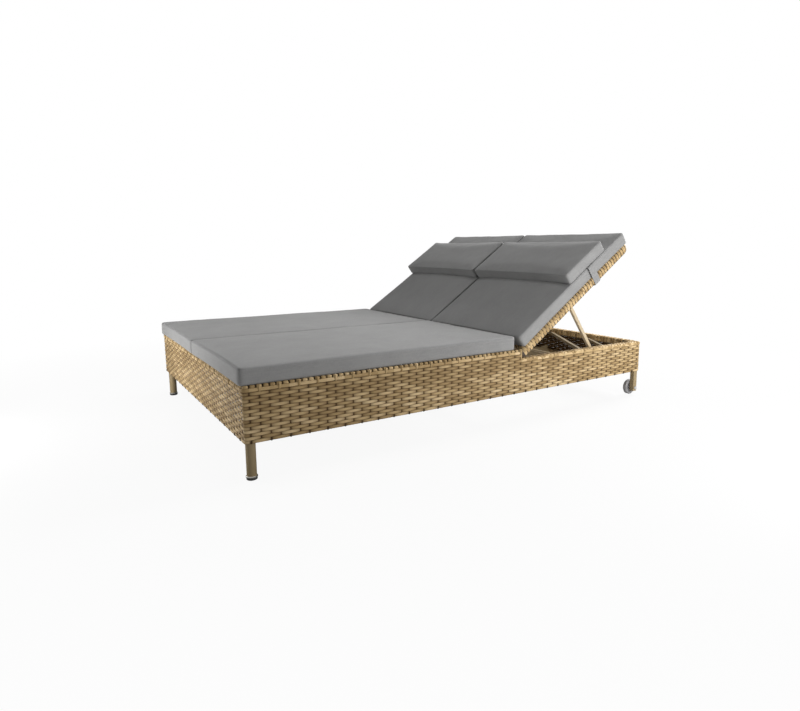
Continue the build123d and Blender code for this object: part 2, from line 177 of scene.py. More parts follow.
def make_streak_group():
    """Fine streaks that run along a strand, with broad patches of tone."""
    group, given, result = node_group(
        "strand streaks",
        [
            ("Place", "NodeSocketVector", None),
            ("Along", "NodeSocketFloat", 30.0),
            ("Across", "NodeSocketFloat", 900.0),
        ],
        [("Streak", "NodeSocketFloat"), ("Patch", "NodeSocketFloat")],
    )
    scale = add_node(group, "ShaderNodeCombineXYZ")
    stretched = add_node(group, "ShaderNodeVectorMath", {"operation": "MULTIPLY"})
    streak = add_node(group, "ShaderNodeTexNoise", values={"Scale": 1.0, "Detail": 3.0, "Roughness": 0.6})
    patch = add_node(group, "ShaderNodeTexNoise", values={"Scale": 4.0, "Detail": 2.0})
    join(group, given, "Along", scale, "X")
    join(group, given, "Across", scale, "Y")
    join(group, given, "Place", stretched, 0)
    join(group, scale, "Vector", stretched, 1)
    join(group, stretched, "Vector", streak, "Vector")
    join(group, given, "Place", patch, "Vector")
    join(group, streak, "Fac", result, "Streak")
    join(group, patch, "Fac", result, "Patch")
    return group


def make_canvas_group():
    """Heathered canvas: thin threads both ways, slubs along the length and soft patches."""
    group, given, result = node_group(
        "heathered canvas",
        [("Place", "NodeSocketVector", None), ("Thread", "NodeSocketFloat", 0.0011)],
        [("Fleck", "NodeSocketFloat"), ("Slub", "NodeSocketFloat"), ("Patch", "NodeSocketFloat")],
    )
    per_metre = add_node(group, "ShaderNodeMath", {"operation": "DIVIDE"}, {0: 1.0})
    scaled = add_node(group, "ShaderNodeVectorMath", {"operation": "SCALE"})
    join(group, given, "Thread", per_metre, 1)
    join(group, given, "Place", scaled, 0)
    join(group, per_metre, "Value", scaled, "Scale")
    checks = {"Scale": 1.0, "Color1": (1, 1, 1, 1), "Color2": (0, 0, 0, 1)}
    threads = add_node(group, "ShaderNodeTexChecker", values=checks)
    either = add_node(group, "ShaderNodeMix", {"data_type": "FLOAT"})
    for socket, shape in (("A", (0.06, 0.8, 1.0)), ("B", (0.8, 0.06, 1.0))):
        stretched = add_node(group, "ShaderNodeVectorMath", {"operation": "MULTIPLY"}, {1: shape})
        texture = add_node(group, "ShaderNodeTexNoise", values={"Scale": 1.0, "Detail": 2.0})
        join(group, scaled, "Vector", stretched, 0)
        join(group, stretched, "Vector", texture, "Vector")
        join(group, texture, "Fac", either, socket)
    join(group, scaled, "Vector", threads, "Vector")
    join(group, threads, "Fac", either, "Factor")
    long = add_node(group, "ShaderNodeVectorMath", {"operation": "MULTIPLY"}, {1: (150.0, 14.0, 150.0)})
    slub = add_node(group, "ShaderNodeTexNoise", values={"Scale": 1.0, "Detail": 3.0, "Roughness": 0.55})
    patch = add_node(group, "ShaderNodeTexNoise", values={"Scale": 6.0, "Detail": 4.0, "Roughness": 0.6})
    join(group, given, "Place", long, 0)
    join(group, long, "Vector", slub, "Vector")
    join(group, given, "Place", patch, "Vector")
    join(group, either, "Result", result, "Fleck")
    join(group, slub, "Fac", result, "Slub")
    join(group, patch, "Fac", result, "Patch")
    return group


def make_wear_group():
    """Soft cloudy dulling and fine grain for paint, metal and rubber."""
    group, given, result = node_group(
        "coat wear",
        [
            ("Place", "NodeSocketVector", None),
            ("Cloud", "NodeSocketFloat", 18.0),
            ("Grain", "NodeSocketFloat", 900.0),
        ],
        [("Cloud", "NodeSocketFloat"), ("Grain", "NodeSocketFloat")],
    )
    for name, detail in (("Cloud", 4.0), ("Grain", 2.0)):
        texture = add_node(group, "ShaderNodeTexNoise", values={"Detail": detail})
        join(group, given, "Place", texture, "Vector")
        join(group, given, name, texture, "Scale")
        join(group, texture, "Fac", result, name)
    return group


streak_group = make_streak_group()
canvas_group = make_canvas_group()
wear_group = make_wear_group()


def new_material(name, roughness, metallic=0.0, specular=0.5, sheen=0.0):
    made = bpy.data.materials.new(name)
    made.use_nodes = True
    shader = made.node_tree.nodes["Principled BSDF"]
    shader.inputs["Roughness"].default_value = roughness
    shader.inputs["Metallic"].default_value = metallic
    shader.inputs["Specular IOR Level"].default_value = specular
    shader.inputs["Sheen Weight"].default_value = sheen
    return made, made.node_tree, shader


def ramp_between(tree, source, colours):
    """A colour ramp with its colours evenly spread, from a value socket."""
    ramp = tree.nodes.new("ShaderNodeValToRGB")
    stops = ramp.color_ramp.elements
    for number in range(len(colours) - 2):
        stops.new((number + 1) / (len(colours) - 1))
    for number, colour in enumerate(colours):
        stops[number].position = number / (len(colours) - 1)
        stops[number].color = (*colour, 1.0)
    tree.links.new(source, ramp.inputs["Fac"])
    return ramp.outputs["Color"]


def mix_colours(tree, factor, first, second, blend="MIX"):
    mix = add_node(tree, "ShaderNodeMix", {"data_type": "RGBA", "blend_type": blend})
    if isinstance(factor, float):
        mix.inputs["Factor"].default_value = factor
    else:
        tree.links.new(factor, mix.inputs["Factor"])
    for key, source in (("A", first), ("B", second)):
        socket = next(item for item in mix.inputs if item.name == key and item.type == "RGBA")
        if isinstance(source, tuple):
            socket.default_value = (*source, 1.0)
        else:
            tree.links.new(source, socket)
    return next(item for item in mix.outputs if item.type == "RGBA")


def add_bump(tree, shader, source, distance, strength=1.0):
    bump = add_node(tree, "ShaderNodeBump", values={"Distance": distance, "Strength": strength})
    tree.links.new(source, bump.inputs["Height"])
    join(tree, bump, "Normal", shader, "Normal")


def strand_material(name, colours, along=30.0, across=1100.0):
    """Flat resin strand. Each float's tone and the painted shade in its hollows come from the mesh."""
    made, tree, shader = new_material(name, 0.5, specular=0.1)
    run = add_node(tree, "ShaderNodeUVMap", {"uv_map": "run"})
    tone = add_node(tree, "ShaderNodeAttribute", {"attribute_name": "tone"})
    painted_shade = add_node(tree, "ShaderNodeAttribute", {"attribute_name": "painted_shade"})
    streaks = add_node(tree, "ShaderNodeGroup", {"node_tree": streak_group})
    streaks.inputs["Along"].default_value = along
    streaks.inputs["Across"].default_value = across
    join(tree, run, "UV", streaks, "Place")
    base = ramp_between(tree, tone.outputs["Fac"], colours)
    darker = mix_colours(tree, 0.4, base, (0.55, 0.5, 0.45), "MULTIPLY")
    streaked = mix_colours(tree, streaks.outputs["Streak"], darker, base)
    patched = mix_colours(tree, streaks.outputs["Patch"], streaked, base)
    # Painted shade: the colour darkens towards the painted hollow colour in the recesses and on the inner
    # side
    hollow = mix_colours(tree, 1.0, patched, painted_hollow_shade_colour, "MULTIPLY")
    tree.links.new(mix_colours(tree, painted_shade.outputs["Fac"], patched, hollow), shader.inputs["Base Color"])
    add_bump(tree, shader, streaks.outputs["Streak"], 0.0004, 0.6)
    return made


def canvas_material(name, light, dark, bump=0.0007):
    """Grey heathered outdoor canvas, with the seams' line from the mesh."""
    made, tree, shader = new_material(name, 0.9, specular=0.08, sheen=0.1)
    run = add_node(tree, "ShaderNodeUVMap", {"uv_map": "run"})
    seam = add_node(tree, "ShaderNodeAttribute", {"attribute_name": "seam"})
    canvas = add_node(tree, "ShaderNodeGroup", {"node_tree": canvas_group})
    join(tree, run, "UV", canvas, "Place")
    fleck = ramp_between(tree, canvas.outputs["Fleck"], (dark, dark, light, light))
    slub = ramp_between(tree, canvas.outputs["Slub"], [(level,) * 3 for level in slub_levels])
    slubbed = mix_colours(tree, 1.0, fleck, slub, "MULTIPLY")
    cloudy = mix_colours(tree, canvas.outputs["Patch"], slubbed, light)
    stitched = mix_colours(tree, seam.outputs["Fac"], cloudy, tuple(channel * 0.5 for channel in dark))
    tree.links.new(stitched, shader.inputs["Base Color"])
    add_bump(tree, shader, canvas.outputs["Fleck"], bump, 0.5)
    return made


def coat_material(name, colour, worn, roughness, metallic=0.0, bump=0.0002, specular=0.5):
    made, tree, shader = new_material(name, roughness, metallic, specular)
    place = add_node(tree, "ShaderNodeTexCoord")
    wear = add_node(tree, "ShaderNodeGroup", {"node_tree": wear_group})
    join(tree, place, "Object", wear, "Place")
    tree.links.new(mix_colours(tree, wear.outputs["Cloud"], colour, worn), shader.inputs["Base Color"])
    add_bump(tree, shader, wear.outputs["Grain"], bump, 0.5)
    return made


honey_colours = (
    (0.420, 0.290, 0.140), (0.570, 0.410, 0.210), (0.680, 0.505, 0.280), (0.780, 0.605, 0.360),
)
stake_colours = ((0.300, 0.200, 0.095), (0.400, 0.280, 0.140), (0.500, 0.360, 0.190))
honey_strand = strand_material("honey resin strand", honey_colours)
upright_strand = strand_material("honey resin stake", stake_colours, 1100.0, 30.0)
wrap_strand = strand_material("honey resin wrap", honey_colours, 1100.0, 30.0)
cushion_canvas = canvas_material("grey heathered canvas", (0.345, 0.343, 0.340), (0.230, 0.229, 0.227))
strap_canvas = canvas_material("grey strap canvas", (0.330, 0.328, 0.325), (0.220, 0.219, 0.217), 0.0004)
frame_coat = coat_material(
    "bronze powder coat", (0.250, 0.190, 0.105), (0.190, 0.140, 0.076), 0.5, specular=0.2,
)
leg_coat = coat_material(
    "khaki powder coat", (0.345, 0.262, 0.142), (0.275, 0.205, 0.110), 0.45, specular=0.3,
)
prop_coat = coat_material(
    "light khaki powder coat", (0.620, 0.510, 0.345), (0.500, 0.405, 0.270), 0.45, specular=0.3,
)
# The rail cores' near-black colour is painted shade: it shows as the dark gaps between the bands wrapped
# round the rails
rail_core_painted_shade = coat_material("rail core painted gap shade", (0.060, 0.040, 0.024), (0.040, 0.027, 0.017), 0.7)
pin_steel = coat_material(
    "zinc plated steel", (0.620, 0.610, 0.590), (0.480, 0.470, 0.455), 0.35, metallic=1.0,
)
glide_steel = coat_material("turned ring", (0.480, 0.465, 0.430), (0.330, 0.320, 0.300), 0.3, metallic=1.0)
pad_rubber = coat_material("black moulded pad", (0.030, 0.029, 0.028), (0.045, 0.043, 0.042), 0.6)
wheel_plastic = coat_material("grey moulded wheel", (0.290, 0.285, 0.290), (0.215, 0.212, 0.218), 0.35)


def give_material(node, made):
    part = frame["nodes"][node]
    part.data.materials.clear()
    part.data.materials.append(made)


# Mesh helpers

def mesh_from(name, bm):
    mesh = bpy.data.meshes.new(name)
    bm.to_mesh(mesh)
    bm.free()
    return mesh


def put_in_scene(name, data):
    item = bpy.data.objects.new(name, data)
    bpy.context.scene.collection.objects.link(item)
    return item


def new_piece(name, bm, made, body, smooth=True):
    mesh = mesh_from(name, bm)
    piece = put_in_scene(name, mesh)
    mesh.materials.append(made)
    if smooth:
        mesh.shade_smooth()
    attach(piece, body)
    return piece


def only_verts(geometry):
    return [item for item in geometry if isinstance(item, bmesh.types.BMVert)]


def flat_ribbon(points, widths, thickness, sides=8, closed=False):
    """A flat strand swept along points: X is its width, and the points are Y and Z."""
    bm = bmesh.new()
    unit = [(cos(2 * pi * number / sides), sin(2 * pi * number / sides)) for number in range(sides)]
    ring = bmesh.ops.create_circle(bm, segments=sides, radius=1.0)["verts"]
    first_ring = ring
    count = len(points)
    for number in range(count):
        if number:
            edges = [bm.edges.get((ring[side - 1], ring[side])) for side in range(sides)]
            made = set(only_verts(bmesh.ops.extrude_edge_only(bm, edges=edges)["geom"]))
            ring = [
                next(edge.other_vert(vert) for edge in vert.link_edges if edge.other_vert(vert) in made)
                for vert in ring
            ]
        before = points[(number - 1) % count] if closed or number else points[number]
        after = points[(number + 1) % count] if closed or number < count - 1 else points[number]
        along = Vector((after[0] - before[0], after[1] - before[1])).normalized()
        for vert, (across, out) in zip(ring, unit):
            push = out * thickness / 2
            rise = across * widths[number] / 2
            vert.co = (rise, points[number][0] - along.y * push, points[number][1] + along.x * push)
    if closed:
        ends = [
            bm.edges.get((loop[side - 1], loop[side])) for loop in (ring, first_ring) for side in range(sides)
        ]
        bmesh.ops.bridge_loops(bm, edges=ends)
    else:
        bmesh.ops.contextual_create(bm, geom=list(first_ring))
        bmesh.ops.contextual_create(bm, geom=list(ring))
    bmesh.ops.recalc_face_normals(bm, faces=bm.faces)
    return bm


def open_ends(bm):
    bmesh.ops.delete(bm, geom=[face for face in bm.faces if len(face.verts) > 4], context="FACES_ONLY")


def repeat(bm, count, step):
    """Copies the whole mesh so that it stands count times, each moved on by step."""
    first = bm.verts[:] + bm.edges[:] + bm.faces[:]
    for number in range(1, count):
        copy = bmesh.ops.duplicate(bm, geom=first)["geom"]
        bmesh.ops.translate(bm, vec=step * number, verts=only_verts(copy))


def join_copies(bm, shape, places):
    """Adds a copy of the shape at each place along X."""
    mesh = mesh_from("copy", shape)
    for place in places:
        have = len(bm.verts)
        bm.from_mesh(mesh)
        bm.verts.ensure_lookup_table()
        bmesh.ops.translate(bm, vec=(place, 0, 0), verts=bm.verts[have:])
    bpy.data.meshes.remove(mesh)


def wraps_at(path, width, thickness, places, sides=8, closed=False):
    """Wraps that stand at the places along X, each on the same path, seen from the side."""
    bm = bmesh.new()
    join_copies(bm, flat_ribbon(path, [width] * len(path), thickness, sides, closed), places)
    return bm


def cut_between(bm, low, high):
    for place, way in ((low, -1), (high, 1)):
        whole = bm.verts[:] + bm.edges[:] + bm.faces[:]
        bmesh.ops.bisect_plane(
            bm, geom=whole, plane_co=(place, 0, 0), plane_no=(way, 0, 0), clear_outer=True,
        )


def spread(low, high, pitch):
    """Places in the middles of equal steps from low to high, each about a pitch long."""
    count = max(round((high - low) / pitch), 1)
    return [low + (high - low) * (number + 0.5) / count for number in range(count)]


def clamped(value):
    return min(max(value, 0.0), 1.0)


def paint_runs(mesh, cell_of, seed, shade=None):
    """Keeps each face corner's flat place as the run map, and gives each cell a tone of its own."""
    run = mesh.uv_layers.new(name="run")
    tone = mesh.attributes.new("tone", "FLOAT", "FACE")
    painted_shade = mesh.attributes.new("painted_shade", "FLOAT", "POINT")
    places = [vert.co.copy() for vert in mesh.vertices]
    # The shade rule fills an attribute of painted shade, which darkens the colour in the weave's hollows
    if shade:
        for number, place in enumerate(places):
            painted_shade.data[number].value = shade(place)
    for face in mesh.polygons:
        middle = face.center
        own = noise.cell(Vector((*cell_of(middle), seed)))
        broad = noise.noise(Vector((middle.x * 1.7, middle.z * 9.0, seed)))
        tone.data[face.index].value = clamped(0.5 + 0.5 * (own - 0.5) + 0.4 * broad)
        for corner in face.loop_indices:
            place = places[mesh.loops[corner].vertex_index]
            run.data[corner].uv = (place.x, place.y + place.z)


def float_cell(height):
    """The float that a place belongs to: its number along the row, and its row."""
    def cell(middle):
        row = floor((middle.z - height) / row_pitch)
        return floor(middle.x / period + 0.5 * ((row + 1) % 2)) + 0.5, row + 0.5
    return cell


def painted_hollow_shade(place):
    """Painted shade: darker where a strand passes behind a stake, and on its inner side."""
    return clamped((painted_shade_start - place.y) / painted_shade_depth)


# Constant painted shade for the seat rim's knobs and long wraps
def rim_knob_painted_shade(place):
    return rim_painted_shade


# Constant painted shade, for the stakes and the turned ends of the stakes
def even_painted_shade(place):
    return stake_painted_shade


def step_cell(step):
    return lambda middle: (floor(middle.x / step + 0.5) + 0.5, 0.5)


def bend_mesh(mesh, place):
    """Moves every vertex from its flat place to where the rule puts it."""
    for vert in mesh.vertices:
        vert.co = place(vert.co)
    mesh.update()


# The outline that the weave follows, seen from above

outline_x = half_width - panel_depth / 2
outline_low = foot_y + panel_depth / 2
outline_high = head_y - panel_depth / 2
side_run = outline_high - outline_low - 2 * corner_radius
end_run = 2 * outline_x - 2 * corner_radius
quarter_run = pi / 2 * corner_radius
full_run = 2 * (side_run + end_run) + 4 * quarter_run
period = full_run / round(full_run / (2 * stake_pitch_wish))
stake_pitch = period / 2


def outline_legs():
    """Each leg: its length, the place where it starts, the way it heads and whether it turns."""
    x, low, high, r = outline_x, outline_low, outline_high, corner_radius
    return (
        (side_run, Vector((x, high - r)), -pi / 2, False),
        (quarter_run, Vector((x, low + r)), -pi / 2, True),
        (end_run, Vector((x - r, low)), -pi, False),
        (quarter_run, Vector((-x + r, low)), -pi, True),
        (side_run, Vector((-x, low + r)), -3 * pi / 2, False),
        (quarter_run, Vector((-x, high - r)), -3 * pi / 2, True),
        (end_run, Vector((-x + r, high)), -2 * pi, False),
        (quarter_run, Vector((x - r, high)), -2 * pi, True),
    )


legs_of_outline = outline_legs()


def on_outline(run, out):
    """The place at a run along the outline from the head end of the right side, moved outwards."""
    run = (run + weave_shift) % full_run
    for length, start, heading, turns in legs_of_outline:
        if run <= length:
            break
        run -= length
    turned = heading
    if turns:
        turned = heading - run / corner_radius
        centre = start + corner_radius * Vector((sin(heading), -cos(heading)))
        place = centre - corner_radius * Vector((sin(turned), -cos(turned)))
    else:
        place = start + run * Vector((cos(heading), sin(heading)))
    return place + out * Vector((-sin(turned), cos(turned)))


def wrap_outline(flat):
    x, y = on_outline(flat.x, flat.y)
    return Vector((x, y, flat.z))


# Runs are measured from a place just past the corner, so that each corner lies between two stakes
run_head_start = -quarter_run / 2 - weave_shift
run_right_step = outline_high - corner_radius - step_y - weave_shift
run_foot_right = side_run + quarter_run / 2 - weave_shift
run_foot_left = run_foot_right + end_run + quarter_run
run_head_left = run_foot_left + side_run + quarter_run
run_left_step = run_head_left + run_head_start - run_right_step
run_head_right = full_run + run_head_start


# Woven panels

# Half a wave of a strand, from the middle of its float to its dip behind a stake: the share of the
# wave, how far out the strand lies and its width as a share of the float's
close_wave = (
    (0.0, 0.0023, 1.0), (0.07, 0.0022, 1.0), (0.14, 0.0020, 1.01), (0.21, 0.0017, 1.04), (0.28, 0.0013, 1.06),
    (0.34, 0.0009, 1.07), (0.38, 0.0006, 1.07), (0.42, 0.0002, 1.07), (0.455, -0.0006, 1.10),
    (0.475, -0.0017, 1.30), (0.50, -0.0022, 1.50),
)
open_wave = (
    (0.0, 0.0020, 1.0), (0.20, 0.0018, 1.0), (0.34, 0.0012, 0.99), (0.42, 0.0004, 0.89),
    (0.455, -0.0006, 0.80), (0.475, -0.0016, 0.80), (0.50, -0.0022, 0.84),
)
deck_wave = (
    (0.0, 0.0020, 1.0), (0.20, 0.0018, 1.0), (0.34, 0.0012, 1.0), (0.42, 0.0005, 1.0), (0.455, -0.0004, 1.0),
    (0.475, -0.0016, 1.04), (0.50, -0.0022, 1.12),
)
coarse_wave = ((0.0, 0.0020, 1.0), (0.36, 0.0013, 1.0), (0.44, 0.0, 0.98), (0.50, -0.0022, 1.1))


def strand_period(wave=close_wave, sides=8):
    """One wave of a strand: a long bowed float over a stake, and a short dip behind the next."""
    whole = list(wave) + [(1 - share, out, width) for share, out, width in reversed(wave[:-1])]
    points = [(out, -period * share) for share, out, width in whole]
    bm = flat_ribbon(points, [float_width * width for share, out, width in whole], strand_thickness, sides)
    open_ends(bm)
    bmesh.ops.rotate(bm, verts=bm.verts, matrix=Matrix.Rotation(-pi / 2, 3, "Y"))
    low = min(vert.co.x for vert in bm.verts)
    bmesh.ops.translate(bm, vec=(-low, 0, 0), verts=bm.verts)
    return bm


def woven_strands(low_run, high_run, rows, height, wave=close_wave, sides=8):
    """The strands of a panel between two runs, with every other row half a wave on."""
    bm = strand_period(wave, sides)
    first = floor(low_run / period) - 1
    repeat(bm, floor(high_run / period) - first + 2, Vector((period, 0, 0)))
    bmesh.ops.remove_doubles(bm, verts=bm.verts, dist=0.00001)
    row = bm.verts[:] + bm.edges[:] + bm.faces[:]
    for number in range(1, rows):
        copy = bmesh.ops.duplicate(bm, geom=row)["geom"]
        step = Vector((stake_pitch * (number % 2), 0, row_pitch * number))
        bmesh.ops.translate(bm, vec=step, verts=only_verts(copy))
    bmesh.ops.translate(bm, vec=(first * period, 0, height + row_pitch / 2), verts=bm.verts)
    cut_between(bm, low_run, high_run)
    return bm


def woven_stakes(low_run, high_run, rows, height):
    """The upright stakes of a panel, each pushed out and in by the rows in turn."""
    bm = bmesh.new()
    for number in range(2):
        points = [
            (-stake_wave * cos(pi * (step / 2 - 0.5 + number)), row_pitch * step / 2)
            for step in range(2 * rows + 1)
        ]
        stake = flat_ribbon(points, [stake_width] * len(points), stake_thickness, 6)
        join_copies(bm, stake, [stake_pitch * number])
    first = floor(low_run / period)
    repeat(bm, floor(high_run / period) - first + 1, Vector((period, 0, 0)))
    bmesh.ops.translate(bm, vec=(first * period, 0, height), verts=bm.verts)
    outside = [vert for vert in bm.verts if not low_run - stake_width < vert.co.x < high_run + stake_width]
    bmesh.ops.delete(bm, geom=outside, context="VERTS")
    return bm


def wicker_piece(name, bm, made, cell, seed, shade=None, place=wrap_outline):
    """A piece of the base's weave: painted while it is flat, then bent round the outline."""
    piece = new_piece(name, bm, made, "base")
    paint_runs(piece.data, cell, seed, shade)
    bend_mesh(piece.data, place)
    return piece


def woven_panel(name, low_run, high_run, rows, wave=close_wave):
    """One side of the skirt: its strands and its stakes."""
    bm = woven_strands(low_run, high_run, rows, skirt_bottom, wave)
    cell = float_cell(skirt_bottom)
    strands = wicker_piece(name + "_strands", bm, honey_strand, cell, 1, painted_hollow_shade)
    bm = woven_stakes(low_run, high_run, rows, skirt_bottom)
    wicker_piece(name + "_stakes", bm, upright_strand, step_cell(stake_pitch), 2, even_painted_shade)
    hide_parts(name)


def edging_strand(name, low_run, high_run, height):
    """The lengthwise strand under the rim, which dips behind each long wrap."""
    steps = 8
    points = []
    for number in range(steps + 1):
        dip = max(cos(2 * pi * number / steps), 0) ** 2
        points.append((0.0034 - 0.0024 * dip, -period * number / steps))
    bm = flat_ribbon(points, [edging_width] * len(points), edging_thickness)
    open_ends(bm)
    bmesh.ops.rotate(bm, verts=bm.verts, matrix=Matrix.Rotation(-pi / 2, 3, "Y"))
    low = min(vert.co.x for vert in bm.verts)
    first = floor(low_run / period) - 1
    bmesh.ops.translate(bm, vec=(first * period - low, 0, height), verts=bm.verts)
    repeat(bm, floor(high_run / period) - first + 2, Vector((period, 0, 0)))
    bmesh.ops.remove_doubles(bm, verts=bm.verts, dist=0.00001)
    cut_between(bm, low_run, high_run)
    wicker_piece(name, bm, honey_strand, step_cell(period), 3)


def over_rim(reach_in, drop, top, lift, out):
    """The path of a wrap from inside the rim, over it and down its outer face."""
    return [
        (-reach_in, top - 0.0060),
        (-reach_in + 0.0010, top - 0.0010 + lift),
        (-reach_in * 0.5, top + lift),
        (0.0000, top + 0.0004 + lift),
        (out - 0.0014, top - 0.0012 + lift),
        (out, top - 0.0042),
        (out, top - drop * 0.65),
        (out - 0.0020, top - drop),
    ]


def seat_edging():
    """Knobs of the deck's strands along the seat's rim, with a long wrap at every third."""
    step = period / wraps_per_period
    corners = (run_foot_right, run_foot_left)
    numbers = [
        number for number in range(floor(run_right_step / step) + 1, floor(run_left_step / step) + 1)
        if all(abs(number * step - corner) > 0.002 for corner in corners)
    ]
    knobs = [number * step for number in numbers]
    long = [number * step for number in numbers if number % wraps_per_period == 0]
    for name, drop, out, width, places in (
        ("seat_rim_knobs", knob_drop, knob_out, knob_width, knobs),
        ("seat_rim_wraps", long_wrap_drop, long_wrap_out, long_wrap_width, long),
    ):
        path = over_rim(rim_reach_in, drop, seat_top, rim_lift, out)
        bm = wraps_at(path, width, knob_thickness, places)
        wicker_piece(name, bm, wrap_strand, step_cell(step), 4, rim_knob_painted_shade)
    edging_strand("seat_rim_edging", run_right_step, run_left_step, seat_top - seat_edging_drop)


def foot_knots():
    """Small turned ends of the stakes under the lower edge of the skirt."""
    path = [
        (-0.0042, skirt_bottom + 0.0070), (-0.0038, skirt_bottom + 0.0010), (-0.0016, skirt_bottom - 0.0010),
        (0.0016, skirt_bottom - 0.0010), (0.0038, skirt_bottom + 0.0010), (0.0042, skirt_bottom + 0.0070),
    ]
    places = [period * (number + 0.5) for number in range(round(full_run / period))]
    bm = wraps_at(path, foot_knot_width, foot_knot_thickness, places, 6)
    wicker_piece("skirt_foot_knots", bm, upright_strand, step_cell(period), 11, even_painted_shade)


def step_edging():
    """A strand down the open end of the seat's weave at the step, on each side."""
    path = [
        (-0.003, rim_top - 0.004), (0.0020, rim_top - 0.003), (0.0034, rim_top + 0.003),
        (0.0034, seat_top - 0.006), (0.0, seat_top),
    ]
    places = (run_right_step + 0.002, run_left_step - 0.002)
    bm = wraps_at(path, end_strand_width, end_strand_thickness, places)
    wicker_piece("step_edging", bm, wrap_strand, step_cell(0.1), 12)


def rim_loop():
    """A closed path round the rim's tube and the top of the weave outside it, seen from the side."""
    out = panel_depth / 2 + 0.0006
    back = -panel_depth / 2 - rim_tube - 0.0006
    high = rim_top + 0.0001
    low = rim_top - rim_tube - 0.0026
    r = 0.0030
    return [
        (out, high - r), (out - r * 0.3, high - r * 0.3), (out - r, high),
        (back + r, high), (back + r * 0.3, high - r * 0.3), (back, high - r),
        (back, low + r), (back + r * 0.3, low + r * 0.3), (back + r, low),
        (out - panel_depth - r, low), (out - panel_depth, low + r), (out - r, rim_top - 0.016),
        (out, rim_top - 0.009),
    ]


def straight_outline(flat):
    """As the outline, but each side runs on straight past its corners."""
    x, y = flat.x, flat.y
    past_corner = corner_radius - quarter_run / 2
    if x < run_foot_right:
        return Vector((outline_x + y, outline_high - past_corner - (x - run_head_start), flat.z))
    if x < run_head_left:
        return Vector((-outline_x - y, outline_low + past_corner + (x - run_foot_left), flat.z))
    return Vector((-outline_x + past_corner + (x - run_head_left), outline_high + y, flat.z))


def rim_edging():
    """Close wraps round the tubes of the lower rim, with a strand along their outer face."""
    tube_in = panel_depth + rim_tube
    reach = quarter_run / 2 - corner_radius
    end_places = spread(run_head_left + tube_in - reach, run_head_right - tube_in + reach, rim_wrap_pitch)
    places = spread(run_head_start - reach, run_right_step, rim_wrap_pitch)
    places += spread(run_left_step, run_head_left + reach, rim_wrap_pitch)
    bm = wraps_at(rim_loop(), rim_wrap_width, rim_wrap_thickness, places + end_places, 6, closed=True)
    cell = step_cell(rim_wrap_pitch)
    wicker_piece("head_rim_wraps", bm, wrap_strand, cell, 5, place=straight_outline)
    height = rim_top - rim_edging_drop
    edging_strand("head_rim_edging_right", run_head_start, run_right_step, height)
    edging_strand("head_rim_edging_left", run_left_step, run_head_left, height)
    edging_strand("head_rim_edging_end", run_head_left, run_head_right, height)


def flat_deck(name, node, body, place, low, high, up_to, wave, sides):
    """A woven deck with its floats on the under side: low and high are its corners before it is placed."""
    rows = floor((high.y - low.y) / row_pitch)
    middle = (low.z + high.z) / 2
    bm = woven_strands(low.x, high.x, rows, low.y, wave, sides)
    strands = new_piece(name + "_strands", bm, honey_strand, body)
    stakes = new_piece(name + "_stakes", woven_stakes(low.x, high.x, rows, low.y), upright_strand, body)
    paint_runs(strands.data, float_cell(low.y), 13, painted_hollow_shade)
    paint_runs(stakes.data, step_cell(stake_pitch), 14, even_painted_shade)
    for piece in (strands, stakes):
        bend_mesh(piece.data, lambda flat: Vector((flat.x, flat.z, middle - flat.y)))
        up_to(piece.data)
        piece.data.transform(place)
    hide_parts(node)


def build_skirts():
    woven_panel("foot_skirt", run_foot_right, run_foot_left, seat_rows)
    woven_panel("seat_skirt_right", run_right_step, run_foot_right, seat_rows)
    woven_panel("seat_skirt_left", run_foot_left, run_left_step, seat_rows)
    woven_panel("head_skirt_right", run_head_start, run_right_step, rim_rows)
    woven_panel("head_skirt_left", run_left_step, run_head_left, rim_rows)
    woven_panel("head_skirt_end", run_head_left, run_head_right, rim_rows, open_wave)
    seat_edging()
    rim_edging()
    foot_knots()
    step_edging()
    deck_low, deck_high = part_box("seat_deck")
    flat_deck(
        "seat_deck", "seat_deck", "base", Matrix.Identity(4), deck_low, deck_high,
        lambda mesh: None, coarse_wave, 4,
    )


# Backs

def back_box(node):
    """A node's box in the flat frame of a back, with its hinge at the origin."""
    lower = raise_back.inverted()
    places = [lower @ vert.co for vert in frame["nodes"][node].data.vertices]
    low = Vector([min(place[axis] for place in places) for axis in range(3)])
    high = Vector([max(place[axis] for place in places) for axis in range(3)])
    return low, high


rail_low, rail_high = back_box("back_rail_outer_right")
top_high = back_box("back_rail_top_right")[1]
inner_low, inner_high = back_box("back_rail_inner_right")
rail_half = (rail_high.x - rail_low.x) / 2
rail_outer_x = (rail_low.x + rail_high.x) / 2
rail_inner_x = (inner_low.x + inner_high.x) / 2
rail_straight = rail_high.y
rail_top = top_high.y - rail_half
bend_radius = rail_top - rail_straight
bend_run = pi / 2 * bend_radius
top_run = rail_outer_x - rail_inner_x - 2 * bend_radius
rail_run = 2 * rail_straight + 2 * bend_run + top_run


def on_back_rail(run, across):
    """The place at a run along the back's bent rail, from the outer rail's lower end."""
    if run <= rail_straight:
        return rail_outer_x + across, run
    run -= rail_straight
    reach = bend_radius + across
    if run <= bend_run:
        turn = run / bend_radius
        return rail_outer_x - bend_radius + reach * cos(turn), rail_straight + reach * sin(turn)
    run -= bend_run
    if run <= top_run:
        return rail_outer_x - bend_radius - run, rail_top + across
    run -= top_run
    if run <= bend_run:
        turn = pi / 2 + run / bend_radius
        return rail_inner_x + bend_radius + reach * cos(turn), rail_straight + reach * sin(turn)
    return rail_inner_x - across, rail_straight - run + bend_run


def place_on_rail(flat):
    return Vector((*on_back_rail(flat.x, flat.y), flat.z))


